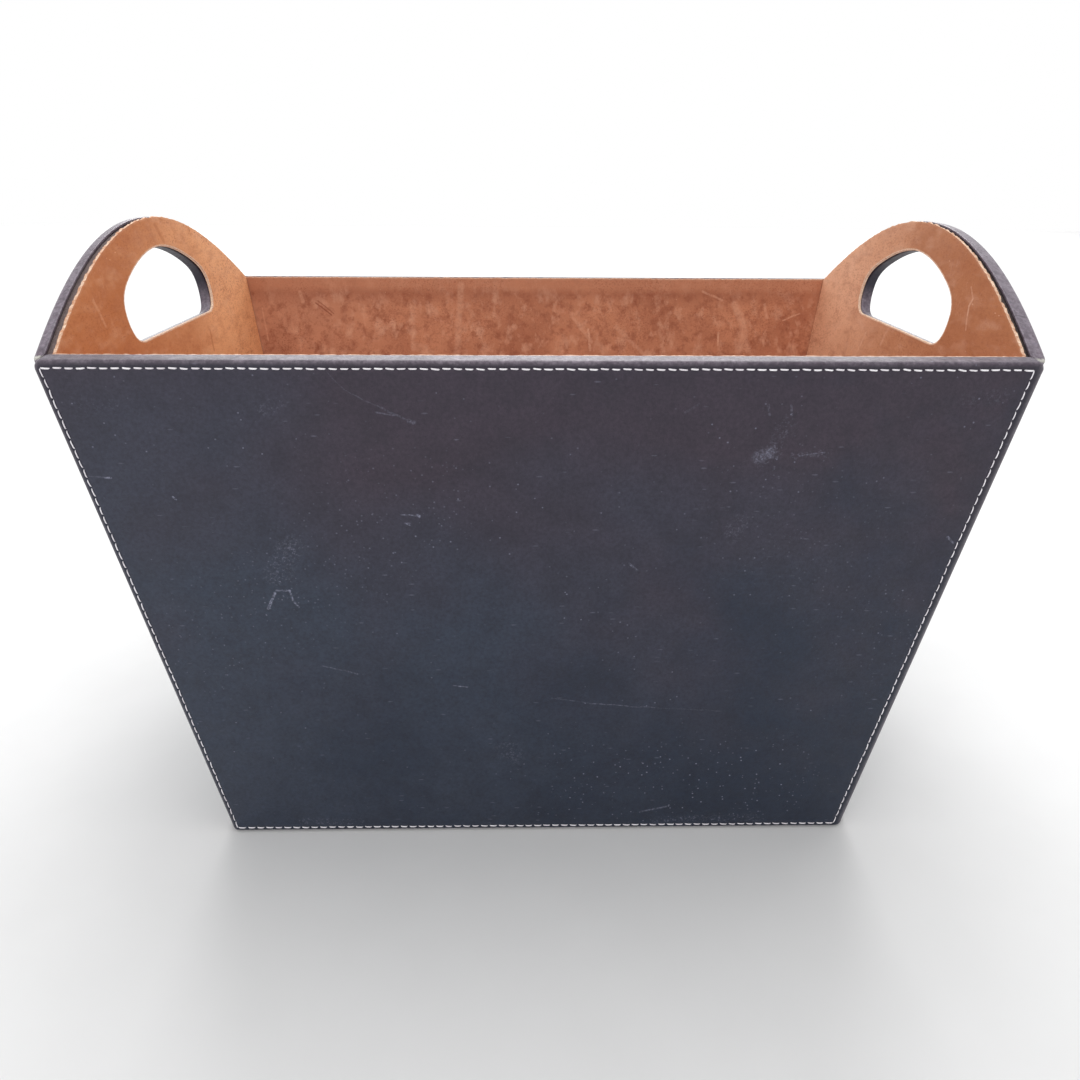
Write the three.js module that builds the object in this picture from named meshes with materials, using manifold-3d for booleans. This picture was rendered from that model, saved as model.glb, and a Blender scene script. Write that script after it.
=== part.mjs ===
// Magazine basket: a flared box of leather covered boards with two arched ends and hand holes.
// Millimetres, +Z up. The origin is the middle of the footprint, on the floor.
// The front faces -Y, and the arched ends face -X and +X.
import * as THREE from 'three';
import Module from 'manifold-3d';
import { mergeVertices } from 'three/addons/utils/BufferGeometryUtils.js';

const wasm = await Module();
wasm.setup();

// Overall sizes, measured over the leather
const rimWidth = 410;
const baseWidth = 317.5;
const rimDepth = 249.5;
const baseDepth = 185;
const rimHeight = 253.5;

// What a wall is made of, from its outer face inwards
const coverThickness = 1.6;
const boardThickness = 5.4;
const liningThickness = 1.4;
const fitGap = 0.3;

// What the floor is made of, from the ground upwards
const soleThickness = 1.2;
const floorBoardThickness = 6;
const floorLiningThickness = 1.4;

// The covers are turned over the edges of their boards
const edgeTurn = 4.6;
const rimRound = 2;
const cornerRound = 4.4;
const roundSteps = 4;
const liningDrop = 0.3;

// The front and the back stop this far inside the faces of the ends
const panelInset = 2.7;

// The arch on top of each end, which meets the rim line just inside the linings
const archHeight = 47.1;
const archFootInset = 0.7;
const archFlankShare = 0.08;
const archSteps = 40;

// The hand hole in each end
const holeHalfWidth = 52;
const holeHeight = 42.2;
const holeDrop = 11.5;
const sleeveThickness = 1.2;
const holeCurveSteps = 7;

// Half of the hand hole from its crown to its sill, as shares of half its width and of its height
const holeCurveShares = [
  [[0, 1], [0.23, 1], [0.49, 0.9], [0.72, 0.75]],
  [[0.72, 0.75], [0.92, 0.62], [1, 0.51], [1, 0.32]],
  [[1, 0.32], [1, 0.14], [0.94, 0], [0.8, 0]],
];

// The thread that is sewn round each cover
const stitchRimInset = 2.9;
const stitchSideInset = 4.3;
const stitchFootInset = 1.7;
const threadWidth = 0.8;
const threadHeight = 0.5;
const threadGap = 0.2;

// The brads that hold the boards together
const bradLength = 16;
const bradRadius = 0.5;
const bradHeadRadius = 0.8;
const bradHeadHeight = 0.8;
const bradTipLength = 1.5;
const bradRecess = 0.3;
const bradSides = 8;
const cornerBradShares = [0.15, 0.5, 0.85];
const longFloorBradShares = [-0.6, 0, 0.6];
const shortFloorBradShares = [-0.5, 0.5];

// Every cut runs this far past what it cuts
const overrun = 2;

// Depths below a wall's outer face
const boardDepth = coverThickness + fitGap;
const boardBack = boardDepth + boardThickness;
const liningDepth = boardBack + fitGap;
const wallThickness = liningDepth + liningThickness;

// Heights of the floor's layers
const floorBoardHeight = soleThickness + fitGap;
const floorLiningHeight = floorBoardHeight + floorBoardThickness + fitGap;
const floorTop = floorLiningHeight + floorLiningThickness;

const coverLeather = new THREE.MeshStandardMaterial({ color: 0x3b3a43, roughness: 0.5, metalness: 0 });
const liningLeather = new THREE.MeshStandardMaterial({ color: 0xb87650, roughness: 0.75, metalness: 0 });
const boardFibre = new THREE.MeshStandardMaterial({ color: 0x4a3b31, roughness: 0.9, metalness: 0 });
const whiteThread = new THREE.MeshStandardMaterial({ color: 0xdedbd6, roughness: 0.8, metalness: 0 });
const bradSteel = new THREE.MeshStandardMaterial({ color: 0xa9aaad, roughness: 0.35, metalness: 1 });

const basket = new THREE.Group();

function solidOf(geometry) {
  const bare = geometry.clone();
  bare.deleteAttribute('normal');
  bare.deleteAttribute('uv');
  const merged = mergeVertices(bare);
  return new wasm.Manifold(new wasm.Mesh({
    numProp: 3,
    vertProperties: Float32Array.from(merged.attributes.position.array),
    triVerts: Uint32Array.from(merged.index.array),
  }));
}

function geometryOf(solid) {
  const mesh = solid.getMesh();
  const geometry = new THREE.BufferGeometry();
  geometry.setAttribute('position', new THREE.BufferAttribute(mesh.vertProperties, mesh.numProp));
  geometry.setIndex(new THREE.BufferAttribute(mesh.triVerts, 1));
  geometry.computeVertexNormals();
  return geometry;
}

function addPiece(parent, name, geometry, material) {
  const piece = new THREE.Mesh(geometry, material.clone());
  piece.name = name;
  parent.add(piece);
  return piece;
}

// A wall lies in the XY plane of its own frame, foot at Y = 0, with its outer face at Z = 0
function makeWall(turn, own, neighbour, arched) {
  const lean = Math.atan2(own.rim - own.base, rimHeight);
  const turned = new THREE.Group();
  turned.rotation.z = turn;
  const frame = new THREE.Group();
  frame.position.y = -own.base;
  frame.rotation.x = Math.PI / 2 + lean;
  turned.add(frame);
  basket.add(turned);
  frame.updateWorldMatrix(true, false);
  const slant = Math.hypot(rimHeight, own.rim - own.base);
  return { turned, frame, lean, slant, own, neighbour, arched };
}

// Half the length of a wall at a height up its slope, inset from its neighbours' outer faces
function wallHalf(wall, height, inset) {
  const { base, rim } = wall.neighbour;
  const flare = (rim - base) / rimHeight;
  return base + (height / wall.slant) * (rim - base) - inset * Math.hypot(1, flare);
}

// Height of the arch above the rim line, and its slope, at a distance from its middle
function archAt(across) {
  const halfSpan = rimDepth / 2 - wallThickness - archFootInset;
  const share = across / halfSpan;
  const height = archHeight * (1 - (1 + archFlankShare) * share ** 2 + archFlankShare * share ** 4);
  const slope = (archHeight / halfSpan) * (4 * archFlankShare * share ** 3 - 2 * (1 + archFlankShare) * share);
  return { height, slope };
}

function rimLine(wall, across, inset) {
  if (!wall.arched) return wall.slant - inset;
  const arch = archAt(across);
  return wall.slant + arch.height - inset * Math.hypot(1, arch.slope);
}

function wallOutline(wall, sideInset, rimInset, footInset) {
  const cornerHeight = rimLine(wall, wallHalf(wall, wall.slant, sideInset), rimInset);
  const rimHalf = wallHalf(wall, cornerHeight, sideInset);
  const footHalf = wallHalf(wall, footInset, sideInset);
  const steps = wall.arched ? archSteps : 1;
  const points = [new THREE.Vector2(-footHalf, footInset), new THREE.Vector2(footHalf, footInset)];
  for (let step = 0; step <= steps; step += 1) {
    const across = rimHalf * (1 - (2 * step) / steps);
    points.push(new THREE.Vector2(across, rimLine(wall, across, rimInset)));
  }
  return points;
}

// A closed outline, pushed outwards by a distance
function grownOutline(points, distance) {
  const count = points.length;
  return points.map((point, index) => {
    const before = point.clone().sub(points[(index + count - 1) % count]).normalize();
    const after = points[(index + 1) % count].clone().sub(point).normalize();
    const outward = new THREE.Vector2(before.y + after.y, -before.x - after.x).normalize();
    const spread = Math.sqrt((1 + before.dot(after)) / 2);
    return point.clone().addScaledVector(outward, distance / spread);
  });
}

// A plate between two depths below the outer face, with holes through it
function plate(outline, front, back, holes = []) {
  const shape = new THREE.Shape(outline);
  shape.holes = holes.map((points) => new THREE.Path(points));
  const geometry = new THREE.ExtrudeGeometry(shape, { depth: back - front, bevelEnabled: false });
  return geometry.translate(0, 0, -back);
}

// A block whose outer edges are rounded over
function roundedBlock(outline, back, radius) {
  const geometry = new THREE.ExtrudeGeometry(new THREE.Shape(outline), {
    depth: back,
    bevelThickness: radius,
    bevelSize: radius,
    bevelOffset: -radius,
    bevelSegments: roundSteps,
  });
  return geometry.translate(0, 0, -back - radius);
}

function handHole(wall) {
  const place = ([acrossShare, heightShare], side) => new THREE.Vector2(
    side * acrossShare * holeHalfWidth,
    wall.slant - holeDrop + heightShare * holeHeight,
  );
  const half = (side) => holeCurveShares.flatMap((curve, index) => {
    const bezier = new THREE.CubicBezierCurve(...curve.map((share) => place(share, side)));
    return bezier.getPoints(holeCurveSteps).slice(index === 0 ? 0 : 1);
  });
  const right = half(1);
  const left = half(-1).slice(1);
  return [...left, ...right.reverse()];
}

// The outer leather: a tray that takes the board, with its edges turned over
function makeCover(name, wall, sideInset, wrapsSides) {
  const sideRound = wrapsSides ? cornerRound : rimRound;
  const rimOutline = wallOutline(wall, sideInset - 2 * rimRound, 0, 0);
  const sideOutline = wallOutline(wall, sideInset, -2 * sideRound, -2 * sideRound);
  const slabOutline = wallOutline(wall, sideInset - overrun, -overrun, -overrun);
  const pocketInset = wrapsSides ? sideInset + coverThickness : sideInset - overrun;
  const pocketOutline = wallOutline(wall, pocketInset, coverThickness, coverThickness);
  const pocket = solidOf(plate(pocketOutline, coverThickness, edgeTurn + overrun));
  let cover = solidOf(roundedBlock(rimOutline, edgeTurn, rimRound))
    .intersect(solidOf(roundedBlock(sideOutline, edgeTurn, sideRound)))
    .intersect(solidOf(plate(slabOutline, -overrun, edgeTurn)))
    .subtract(pocket);
  if (wall.arched) {
    const opening = grownOutline(handHole(wall), sleeveThickness + fitGap);
    cover = cover.subtract(solidOf(plate(opening, -overrun, edgeTurn)));
  }
  addPiece(wall.frame, name, geometryOf(cover), coverLeather);
}

function makeLining(name, wall, sideInset) {
  const footInset = (floorTop + fitGap - liningDepth * Math.sin(wall.lean)) / Math.cos(wall.lean);
  const outline = wallOutline(wall, sideInset, liningDrop, footInset);
  const holes = wall.arched ? [handHole(wall)] : [];
  addPiece(wall.frame, name, plate(outline, liningDepth, wallThickness, holes), liningLeather);
}

// A leather sleeve that lines the hand hole through the cover and the board
function makeSleeve(name, wall) {
  const opening = handHole(wall);
  const outline = grownOutline(opening, sleeveThickness);
  addPiece(wall.frame, name, plate(outline, 0, boardBack, [opening]), coverLeather);
}

function makeStitching(name, wall, sideInset) {
  const row = (inset) => wallOutline(
    wall,
    sideInset + stitchSideInset + inset,
    stitchRimInset + inset,
    stitchFootInset + inset,
  );
  const thread = plate(row(0), -threadGap - threadHeight, -threadGap, [row(threadWidth)]);
  addPiece(wall.frame, name, thread, whiteThread);
}

// Half the length of the floor between two walls, at a height above the ground
function floorHalf(own, height) {
  const flare = (own.rim - own.base) / rimHeight;
  return own.base + height * flare - liningDepth * Math.hypot(1, flare);
}

function floorSheet(height, thickness) {
  const sheet = new THREE.BoxGeometry(
    2 * floorHalf(widths, height),
    2 * floorHalf(depths, height),
    thickness,
  );
  return sheet.translate(0, 0, height + thickness / 2);
}

// A brad points along +Y from its head, and its hole is the same shape with clearance
function bradShape() {
  const shank = bradLength - bradTipLength;
  const profile = [
    [0, 0],
    [bradHeadRadius, 0],
    [bradHeadRadius, bradHeadHeight],
    [bradRadius, bradHeadHeight],
    [bradRadius, shank],
    [0, bradLength],
  ];
  return new THREE.LatheGeometry(profile.map(([x, y]) => new THREE.Vector2(x, y)), bradSides);
}

function bradHole() {
  const mouth = bradHeadRadius + fitGap;
  const bore = bradRadius + fitGap;
  const profile = [
    [0, -overrun],
    [mouth, -overrun],
    [mouth, bradHeadHeight + fitGap],
    [bore, bradHeadHeight + fitGap],
    [bore, bradLength + fitGap],
    [0, bradLength + fitGap],
  ];
  return new THREE.LatheGeometry(profile.map(([x, y]) => new THREE.Vector2(x, y)), bradSides);
}

function addBrad(parent, name, place, aim) {
  const brad = addPiece(parent, name, bradShape(), bradSteel);
  brad.position.set(place[0], place[1], place[2]);
  brad.rotation.x = aim;
  brad.updateWorldMatrix(true, false);
  return brad;
}

// Brads through a long wall into the edge of the end board beside it
function makeCornerBrads(label, wall) {
  const brads = [];
  const overlapMiddle = (panelInset + boardDepth + boardBack) / 2;
  for (const [sideName, side] of [['left', -1], ['right', 1]]) {
    cornerBradShares.forEach((share, index) => {
      const height = share * wall.slant;
      const across = side * wallHalf(wall, height, overlapMiddle);
      const place = [across, height, -boardDepth - bradRecess];
      brads.push(addBrad(wall.frame, `${label}_${sideName}_brad_${index + 1}`, place, -Math.PI / 2));
    });
  }
  return brads;
}

// Level brads through the foot of a wall into the edge of the floor board
function makeFloorBrads(label, wall, shares) {
  const height = floorBoardHeight + floorBoardThickness / 2;
  const inward = (boardDepth + bradRecess) / Math.cos(wall.lean) - height * Math.tan(wall.lean);
  return shares.map((share, index) => {
    const across = share * floorHalf(wall.neighbour, height);
    const place = [across, inward - wall.own.base, height];
    return addBrad(wall.turned, `${label}_floor_brad_${index + 1}`, place, 0);
  });
}

function drilled(geometry, frame, brads) {
  const toFrame = frame.matrixWorld.clone().invert();
  let solid = solidOf(geometry);
  for (const brad of brads) {
    const tool = bradHole().applyMatrix4(brad.matrixWorld).applyMatrix4(toFrame);
    solid = solid.subtract(solidOf(tool));
  }
  return geometryOf(solid);
}

function makeBoard(name, wall, sideInset, brads) {
  const outline = wallOutline(wall, sideInset, boardDepth, boardDepth);
  const holes = wall.arched ? [grownOutline(handHole(wall), sleeveThickness + fitGap)] : [];
  const board = plate(outline, boardDepth, boardBack, holes);
  addPiece(wall.frame, name, drilled(board, wall.frame, brads), boardFibre);
}

const widths = { base: baseWidth / 2, rim: rimWidth / 2 };
const depths = { base: baseDepth / 2, rim: rimDepth / 2 };

const front = makeWall(0, depths, widths, false);
const right = makeWall(Math.PI / 2, widths, depths, true);
const back = makeWall(Math.PI, depths, widths, false);
const left = makeWall(-Math.PI / 2, widths, depths, true);

const brads = [
  ...makeCornerBrads('front', front),
  ...makeCornerBrads('back', back),
  ...makeFloorBrads('front', front, longFloorBradShares),
  ...makeFloorBrads('back', back, longFloorBradShares),
  ...makeFloorBrads('left', left, shortFloorBradShares),
  ...makeFloorBrads('right', right, shortFloorBradShares),
];

for (const [label, wall] of [['front', front], ['back', back]]) {
  makeBoard(`${label}_board`, wall, panelInset + boardDepth, brads);
  makeCover(`${label}_cover`, wall, panelInset, true);
  makeLining(`${label}_lining`, wall, liningDepth);
  makeStitching(`${label}_stitching`, wall, panelInset);
}

for (const [label, wall] of [['left', left], ['right', right]]) {
  makeBoard(`${label}_board`, wall, liningDepth, brads);
  makeCover(`${label}_cover`, wall, liningDepth, false);
  makeLining(`${label}_lining`, wall, wallThickness + fitGap);
  makeStitching(`${label}_stitching`, wall, liningDepth);
  makeSleeve(`${label}_hand_hole_sleeve`, wall);
}

const floorBoard = drilled(floorSheet(floorBoardHeight, floorBoardThickness), basket, brads);
addPiece(basket, 'floor_sole', floorSheet(0, soleThickness), coverLeather);
addPiece(basket, 'floor_board', floorBoard, boardFibre);
addPiece(basket, 'floor_lining', floorSheet(floorLiningHeight, floorLiningThickness), liningLeather);

export default basket;
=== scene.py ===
# Magazine basket: leather panels sewn over boards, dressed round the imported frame, in metres.
import math
import random

import bpy
from mathutils import Matrix, Vector
from mathutils.geometry import tessellate_polygon


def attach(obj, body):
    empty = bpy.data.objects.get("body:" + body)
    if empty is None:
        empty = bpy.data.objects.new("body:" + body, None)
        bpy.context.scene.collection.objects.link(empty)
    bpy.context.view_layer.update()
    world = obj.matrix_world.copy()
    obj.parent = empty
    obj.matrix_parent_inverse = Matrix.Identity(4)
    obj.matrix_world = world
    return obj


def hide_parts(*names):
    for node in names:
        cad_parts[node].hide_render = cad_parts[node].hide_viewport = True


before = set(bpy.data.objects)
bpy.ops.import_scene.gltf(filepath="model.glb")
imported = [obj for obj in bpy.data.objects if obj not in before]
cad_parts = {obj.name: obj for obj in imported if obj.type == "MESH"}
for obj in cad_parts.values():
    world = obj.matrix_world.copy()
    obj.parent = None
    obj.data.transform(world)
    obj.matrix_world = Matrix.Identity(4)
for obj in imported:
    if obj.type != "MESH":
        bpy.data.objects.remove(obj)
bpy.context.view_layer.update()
scene = bpy.context.scene
MM = 0.001

# Overall sizes of the frame, over the leather, in millimetres like every length up to the camera
RIM_WIDTH = 410
BASE_WIDTH = 317.5
RIM_DEPTH = 249.5
BASE_DEPTH = 185
RIM_HEIGHT = 253.5

# The layers of a wall, as depths below its outer face
COVER = 1.6
BOARD_BACK = 7.3
LINING_FRONT = 7.6
WALL = 9
FLOOR_TOP = 9.2

# The front and the back stop inside the faces of the ends, and the ends stop behind their boards
PANEL_INSET = 2.7
LINING_GAP = 0.3

# The arch of an end, its hand hole with the sleeve in it, and how far linings end below the rim
ARCH_HEIGHT = 47.1
ARCH_FOOT_INSET = 0.7
ARCH_FLANK_SHARE = 0.08
HOLE_HALF_WIDTH = 52
HOLE_HEIGHT = 42.2
HOLE_DROP = 11.5
HOLE_CURVE_SHARES = [
    [(0, 1), (0.23, 1), (0.49, 0.9), (0.72, 0.75)],
    [(0.72, 0.75), (0.92, 0.62), (1, 0.51), (1, 0.32)],
    [(1, 0.32), (1, 0.14), (0.94, 0), (0.8, 0)],
]
HOLE_STEPS = 24
SLEEVE = 1.2
LINING_DROP = 0.3

# The seam round each panel: its stitches, and how far its rows lie from the edges
STITCH_PITCH = 4.5
STITCH_LENGTHS = {"rim": 3.65, "left": 4.1, "right": 4.1, "foot": 3.8}
THREAD_RADII = {"rim": 0.37, "left": 0.25, "right": 0.25, "foot": 0.31}
STITCH_SLANTS = {"rim": -3, "left": 0, "right": 0, "foot": -3}
CORNER_REACH = 0.45
ROW_RIM = 3.3
ROW_SIDE = 4.7
ROW_FOOT = 2.6
ROWS = (ROW_RIM, ROW_SIDE, ROW_FOOT)

# How far the seam of a panel is sewn off its middle
SEAM_SHIFTS = {"front": -1.0}


class Wall:
    """A wall in its own flat frame: across, up its slope, and depth below its outer face."""

    def __init__(self, name, turn, own, neighbour, arched):
        self.name = name
        self.own = own
        self.neighbour = neighbour
        self.arched = arched
        self.lean = math.atan2(own[1] - own[0], RIM_HEIGHT)
        self.slant = math.hypot(RIM_HEIGHT, own[1] - own[0])
        self.turn = Matrix.Rotation(turn, 3, "Z")

    def point(self, across, height, depth):
        """The place of a point of the wall in the part's frame, in metres."""
        out = self.own[0] + height * math.sin(self.lean) - depth * math.cos(self.lean)
        up = height * math.cos(self.lean) + depth * math.sin(self.lean)
        return self.turn @ Vector((across, -out, up)) * MM

    def half(self, height, inset):
        """Half the wall's width at a height, less an inset from its side."""
        base, rim = self.neighbour
        flare = (rim - base) / RIM_HEIGHT
        return base + height / self.slant * (rim - base) - inset * math.hypot(1, flare)

    def rim(self, across, inset):
        """The height of the rim at a place across, less an inset from it."""
        if not self.arched:
            return self.slant - inset
        half_span = RIM_DEPTH / 2 - WALL - ARCH_FOOT_INSET
        share = across / half_span
        q = ARCH_FLANK_SHARE
        height = ARCH_HEIGHT * (1 - (1 + q) * share ** 2 + q * share ** 4)
        slope = ARCH_HEIGHT / half_span * (4 * q * share ** 3 - 2 * (1 + q) * share)
        return self.slant + height - inset * math.hypot(1, slope)


WIDTHS = (BASE_WIDTH / 2, RIM_WIDTH / 2)
DEPTHS = (BASE_DEPTH / 2, RIM_DEPTH / 2)
front = Wall("front", 0, DEPTHS, WIDTHS, False)
right = Wall("right", math.pi / 2, WIDTHS, DEPTHS, True)
back = Wall("back", math.pi, DEPTHS, WIDTHS, False)
left = Wall("left", -math.pi / 2, WIDTHS, DEPTHS, True)


class Corners:
    """The four corners of a wall's outline at given insets from its sides, its rim and its foot."""

    def __init__(self, wall, side, rim, foot):
        self.wall, self.rim, self.foot = wall, rim, foot
        self.top = wall.rim(wall.half(wall.slant, side), rim)
        self.top_half = wall.half(self.top, side)
        self.foot_half = wall.half(foot, side)

    def at(self, edge, share):
        if edge == "foot":
            return Vector(((2 * share - 1) * self.foot_half, self.foot))
        if edge == "rim":
            across = (1 - 2 * share) * self.top_half
            return Vector((across, self.wall.rim(across, self.rim)))
        sign = 1 if edge == "right" else -1
        low = Vector((sign * self.foot_half, self.foot))
        high = Vector((sign * self.top_half, self.top))
        return low.lerp(high, share if edge == "right" else 1 - share)


EDGES = ("foot", "right", "rim", "left")
EDGE_STEPS = 400


def edge_lengths(corners, edge):
    """The length of an edge up to each of its steps."""
    points = [corners.at(edge, step / EDGE_STEPS) for step in range(EDGE_STEPS + 1)]
    lengths = [0]
    for a, b in zip(points, points[1:]):
        lengths.append(lengths[-1] + (b - a).length)
    return lengths


def even_shares(lengths, count):
    """Shares along an edge that cut it into equal lengths."""
    shares, step = [], 0
    for index in range(count):
        target = lengths[-1] * index / count
        while lengths[step + 1] < target:
            step += 1
        within = (target - lengths[step]) / (lengths[step + 1] - lengths[step])
        shares.append((step + within) / EDGE_STEPS)
    return shares


# How far the outer leather of an end stands off its board along the arch, and how far that runs down
SWELLINGS = {"left": 0.3, "right": 1.3}
SWELLING_REACH = 9


def swelling(wall, weights, inset):
    """How far the leather stands out at an inset from the arch."""
    share = max(0, 1 - inset / SWELLING_REACH)
    return SWELLINGS.get(wall.name, 0) * weights["rim"] * math.sin(share * math.pi / 2)


PER_STITCH = 4


class Samples:
    """How a wall's outline is cut up: whole stitches along each edge."""

    def __init__(self, wall, side_inset):
        self.row = Corners(wall, side_inset + ROW_SIDE, ROW_RIM, ROW_FOOT)
        lengths = {edge: edge_lengths(self.row, edge) for edge in EDGES}
        self.stitches = {edge: round(lengths[edge][-1] / STITCH_PITCH) for edge in EDGES}
        self.shares = {edge: even_shares(lengths[edge], self.stitches[edge] * PER_STITCH) for edge in EDGES}


EDGE_KINDS = {"foot": "foot", "right": "side", "rim": "rim", "left": "side"}

# The share of an edge that gives its direction, and the least length over which weights blend
CORNER_SHARE = 0.02
LEAST_BLEND = 1.5


def on_arc(corner, along, away, radius, half_angle, share):
    """A point on the arc that rounds a corner, where 1 is the end of the arc and 0 its middle."""
    reach = radius / math.tan(half_angle)
    centre = corner + (along + away).normalized() * radius / math.sin(half_angle)
    spoke = corner + along * reach - centre
    turn = (1 - share) * (math.pi / 2 - half_angle)
    return centre + spoke * math.cos(turn) - along * radius * math.sin(turn)


def rounded_loop(corners, samples, top_radius, foot_radius):
    """Points round an outline with rounded corners, each with its weights on rim, side and foot."""
    loop = []
    for index, edge in enumerate(EDGES):
        start, end = corners.at(edge, 0), corners.at(edge, 1)
        for share in samples.shares[edge]:
            point = corners.at(edge, share)
            near_start = (point - start).length < (point - end).length
            corner = start if near_start else end
            other = EDGES[index - 1] if near_start else EDGES[(index + 1) % len(EDGES)]
            low = edge == "foot" or (edge == "right") == near_start and edge != "rim"
            radius = foot_radius if low else top_radius
            first, last = CORNER_SHARE, 1 - CORNER_SHARE
            along = (corners.at(edge, first if near_start else last) - corner).normalized()
            away = (corners.at(other, last if near_start else first) - corner).normalized()
            half_angle = along.angle(away) / 2
            reach = radius / math.tan(half_angle)
            distance = (point - corner).length
            if distance < reach:
                point = on_arc(corner, along, away, radius, half_angle, distance / reach)
            own = 0.5 + 0.5 * min(1, distance / max(reach, LEAST_BLEND))
            weights = {"rim": 0, "side": 0, "foot": 0}
            weights[EDGE_KINDS[edge]] += own
            weights[EDGE_KINDS[other]] += 1 - own
            loop.append((point, weights))
    return loop


def blend(weights, values):
    rim, side, foot = values
    return weights["rim"] * rim + weights["side"] * side + weights["foot"] * foot


def bezier(a, b, c, d, t):
    s = 1 - t
    return s ** 3 * a + 3 * s * s * t * b + 3 * s * t * t * c + t ** 3 * d


def half_hole(wall, side):
    """One half of the hand hole's outline, from the middle of its top down to its flat foot."""
    low = wall.slant - HOLE_DROP
    points = []
    for curve in HOLE_CURVE_SHARES:
        handles = [Vector((side * x * HOLE_HALF_WIDTH, low + y * HOLE_HEIGHT)) for x, y in curve]
        for step in range(1 if points else 0, HOLE_STEPS + 1):
            points.append(bezier(*handles, step / HOLE_STEPS))
    return points


def hand_hole(wall, grow):
    """The hand hole's outline, pushed outwards by a distance."""
    outline = half_hole(wall, -1)[1:] + half_hole(wall, 1)[::-1]
    grown = []
    for index, point in enumerate(outline):
        before = (point - outline[index - 1]).normalized()
        after = (outline[(index + 1) % len(outline)] - point).normalized()
        outward = Vector((before.y + after.y, -before.x - after.x)).normalized()
        spread = math.sqrt((1 + before.dot(after)) / 2)
        grown.append(point + outward * grow / spread)
    return grown


# Meshes

# Angles in degrees above which an edge of a mesh stays sharp
SHARP_LEATHER = 40
SHARP_THREAD = 60


class Sheet:
    """A mesh of loops and fills in a wall's frame, with the place of each point for its material."""

    def __init__(self, wall):
        self.wall = wall
        self.places = []
        self.edge = []
        self.worn = []
        self.faces = []

    def loop(self, points, edge, worn=0.0):
        """Adds points (across, height, depth), and gives their numbers."""
        first = len(self.places)
        for index, place in enumerate(points):
            self.places.append(place)
            self.edge.append(edge[index] if isinstance(edge, list) else edge)
            self.worn.append(worn[index] if isinstance(worn, list) else worn)
        return list(range(first, len(self.places)))

    def bridge(self, a, b):
        count = len(a)
        for index in range(count):
            after = (index + 1) % count
            self.faces.append((a[index], a[after], b[after], b[index]))

    def bridge_all(self, loops):
        for a, b in zip(loops, loops[1:]):
            self.bridge(a, b)

    def close(self, loops, section, gap=0):
        """Joins loops, and closes both ends of them, round the hand hole if there is one."""
        self.bridge_all(loops)
        first, last = [loops[0]], [loops[-1]]
        if self.wall.arched:
            rings = []
            for grow, depth, edge in section:
                hole = hand_hole(self.wall, gap + grow)
                rings.append(self.loop([(p.x, p.y, depth) for p in hole], edge))
            self.bridge_all(rings)
            last.append(rings[0])
            first.append(rings[-1])
        self.fill(last)
        self.fill(first, flip=True)

    def fill(self, loops, flip=False):
        """Closes a flat face with an outline and the holes in it."""
        flat = [[Vector((self.places[i][0], self.places[i][1], 0)) for i in loop] for loop in loops]
        numbers = [i for loop in loops for i in loop]
        for triangle in tessellate_polygon(flat):
            face = [numbers[i] for i in triangle]
            self.faces.append(self.facing(face, not flip))

    def facing(self, face, outwards):
        a, b, c = (Vector(self.places[i][:2]) for i in face)
        turns_left = (b - a).cross(c - a) > 0
        return face if turns_left == outwards else face[::-1]

    def build(self, name, material):
        mesh = bpy.data.meshes.new(name)
        mesh.from_pydata([self.wall.point(*place) for place in self.places], [], self.faces)
        place = mesh.attributes.new("place", "FLOAT_VECTOR", "POINT")
        place.data.foreach_set("vector", [value for spot in self.places for value in spot])
        for label, values in (("edge", self.edge), ("worn", self.worn)):
            mesh.attributes.new(label, "FLOAT", "POINT").data.foreach_set("value", values)
        return finish_piece(name, mesh, material, SHARP_LEATHER)


def linked(name, data):
    """A new object in the scene."""
    new = bpy.data.objects.new(name, data)
    scene.collection.objects.link(new)
    return new


def finish_piece(name, mesh, material, sharp):
    mesh.shade_smooth()
    mesh.set_sharp_from_angle(angle=math.radians(sharp))
    mesh.materials.append(material)
    piece = linked(name, mesh)
    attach(piece, "root")
    return piece


def round_over(inset, radius):
    """The depth of a rounded edge at an inset from it."""
    if inset >= radius:
        return 0
    return radius - math.sqrt(radius ** 2 - (radius - inset) ** 2)


# The panels that are sewn over the boards
ROUND_STEPS = 7

# Radii of a panel's corners at the top and at the foot, and the least of them further in
LONG_CORNERS = (4.6, 2.6)
END_CORNERS = (0.9, 0.9)
LEAST_CORNER = 0.3

# The cut end of the turned leather: its bevels, and its points as (share of the thickness, wear and painted
# highlight)
INNER_BEVEL = 0.25
OUTER_BEVEL = 0.4
CUT_POINTS = [(0.8, 0.7), (0.22, 1.0)]
CUT_WEAR_AND_HIGHLIGHT = 0.8
CUT_MARGIN = 0.4
SKIVED_SHARE = 0.7
LEAST_TURN = 0.02
LEAST_CUT = 0.05

# Wear and painted highlight of the rounded edges, what an arch has more of both, and the further wear at
# its tips
ROLL_WEAR_AND_HIGHLIGHT = 1.5
ARCH_WEAR_AND_HIGHLIGHT = 0.75
TIP_WEAR = 1.7
TIP_WEAR_REACH = 2.4

# The furrow of a seam, as (distance from the row, share of its depth), and the flat face inside it
VALLEY_HALF = 1.1
VALLEY_DEPTH = 0.16
HOLE_DEPTH = 0.3
FURROW = [(-0.55, 0.6), (0, 1), (0.55, 0.6), (VALLEY_HALF, 0), (2.4, 0), (6, 0)]

# How the outer leather rolls into the hand hole, as (distance from the cut, depth, edge)
HOLE_ROLL = [
    (3.4, 0, 0), (2.4, 0.06, 0), (1.6, 0.24, 0), (0.95, 0.55, 0), (0.45, 1, 0), (0.2, 1.5, 0),
    (0.15, COVER + 0.04, 0), (1.5, COVER, 0),
]


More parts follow.
